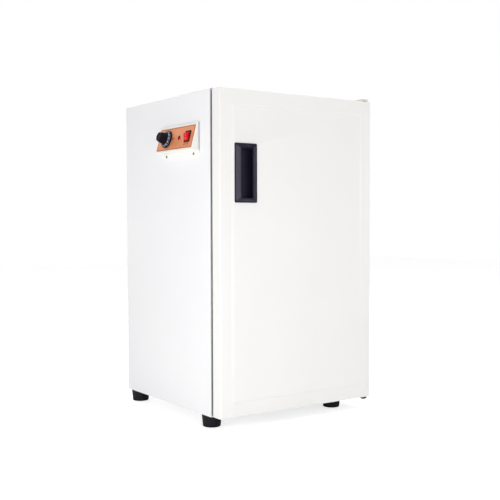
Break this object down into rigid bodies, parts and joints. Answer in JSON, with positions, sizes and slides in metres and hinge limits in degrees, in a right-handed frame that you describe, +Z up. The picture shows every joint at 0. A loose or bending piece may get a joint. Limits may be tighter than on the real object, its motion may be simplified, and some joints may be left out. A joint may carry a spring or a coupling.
{
  "type": "warming cabinet",
  "caption": "Insulated clinic warming cabinet with a hinged door, wire shelves over a heater, and a side control pod with thermostat knob, pilot lamp and rocker switch.",
  "frame": {"origin": "on the floor, at the middle of the whole outline, control pod and knob included", "axes": "+X towards the hinge side, away from the control pod; +Y from the door to the back; +Z up"},
  "size_m": [0.4366, 0.4134, 0.6953],
  "materials": {
    "white_coat": "gloss powder coat",
    "stainless": "brushed",
    "polished_wire": "electropolished",
    "zinc_steel": "zinc plated",
    "blackened_steel": "satin black",
    "copper_plate": "copper-coloured anodised",
    "heater_sheath": "heat-darkened",
    "sensor_copper": "drawn",
    "mineral_wool": "matt fibre",
    "black_rubber": "matt",
    "grey_seal": "matt",
    "black_moulding": "fine texture",
    "red_rocker": "gloss",
    "red_lens": "clear gloss",
    "pale_moulding": "smooth"
  },
  "bodies": {
    "cabinet": {"outer_case": "white_coat", "front_frame": "white_coat", "base_pan": "white_coat", "back_panel": "white_coat", "back_screws": "zinc_steel", "inner_tank": "stainless", "case_insulation": "mineral_wool", "shelf_uprights": "stainless", "shelf_runners": "stainless", "shelf_lower": "polished_wire", "shelf_middle": "polished_wire", "shelf_upper": "polished_wire", "heater_element": "heater_sheath", "heater_clips": "zinc_steel", "heater_cover": "stainless", "thermostat_body": "black_moulding", "thermostat_screws": "zinc_steel", "sensor_bulb": "sensor_copper", "sensor_clips": "zinc_steel", "capillary_grommet": "grey_seal", "thermal_cutout": "zinc_steel", "terminal_block": "pale_moulding", "wiring_loom": "black_moulding", "control_pod": "white_coat", "faceplate": "copper_plate", "pod_screws": "zinc_steel", "switch_housing": "black_moulding", "pilot_lens": "red_lens", "pilot_lamp": "black_moulding", "power_inlet": "black_moulding", "inlet_pins": "sensor_copper", "inlet_screws": "zinc_steel", "foot_front_left": "black_rubber", "foot_front_right": "black_rubber", "foot_rear_left": "black_rubber", "foot_rear_right": "black_rubber", "foot_screws": "zinc_steel", "upper_hinge_bracket": "zinc_steel", "upper_hinge_pin": "zinc_steel", "upper_hinge_cap": "pale_moulding", "lower_hinge_bracket": "blackened_steel", "lower_hinge_pin": "zinc_steel", "hinge_screws": "zinc_steel", "hinge_washer": "pale_moulding"},
    "door": {"door_skin": "white_coat", "door_liner": "white_coat", "door_insulation": "mineral_wool", "door_gasket": "grey_seal", "gasket_magnets": "grey_seal", "handle_cup": "black_moulding", "upper_hinge_bush": "pale_moulding", "lower_hinge_bush": "pale_moulding"},
    "knob": {"knob": "black_moulding", "thermostat_shaft": "zinc_steel"},
    "rocker": {"rocker": "red_rocker"}
  },
  "joints": [
    {"name": "door_hinge", "type": "hinge", "parent": "cabinet", "child": "door", "pos_m": [0.21047, -0.1895, 0.358], "axis": [0, 0, 1], "range_deg": [0, 120]},
    {"name": "knob_turn", "type": "hinge", "parent": "cabinet", "child": "knob", "pos_m": [-0.19327, -0.01625, 0.59758], "axis": [0.9681, 0, -0.2504], "range_deg": [-135, 135]},
    {"name": "rocker_tilt", "type": "hinge", "parent": "cabinet", "child": "rocker", "pos_m": [-0.19404, -0.10125, 0.59778], "axis": [0, 1, 0], "range_deg": [0, 30]}
  ]
}
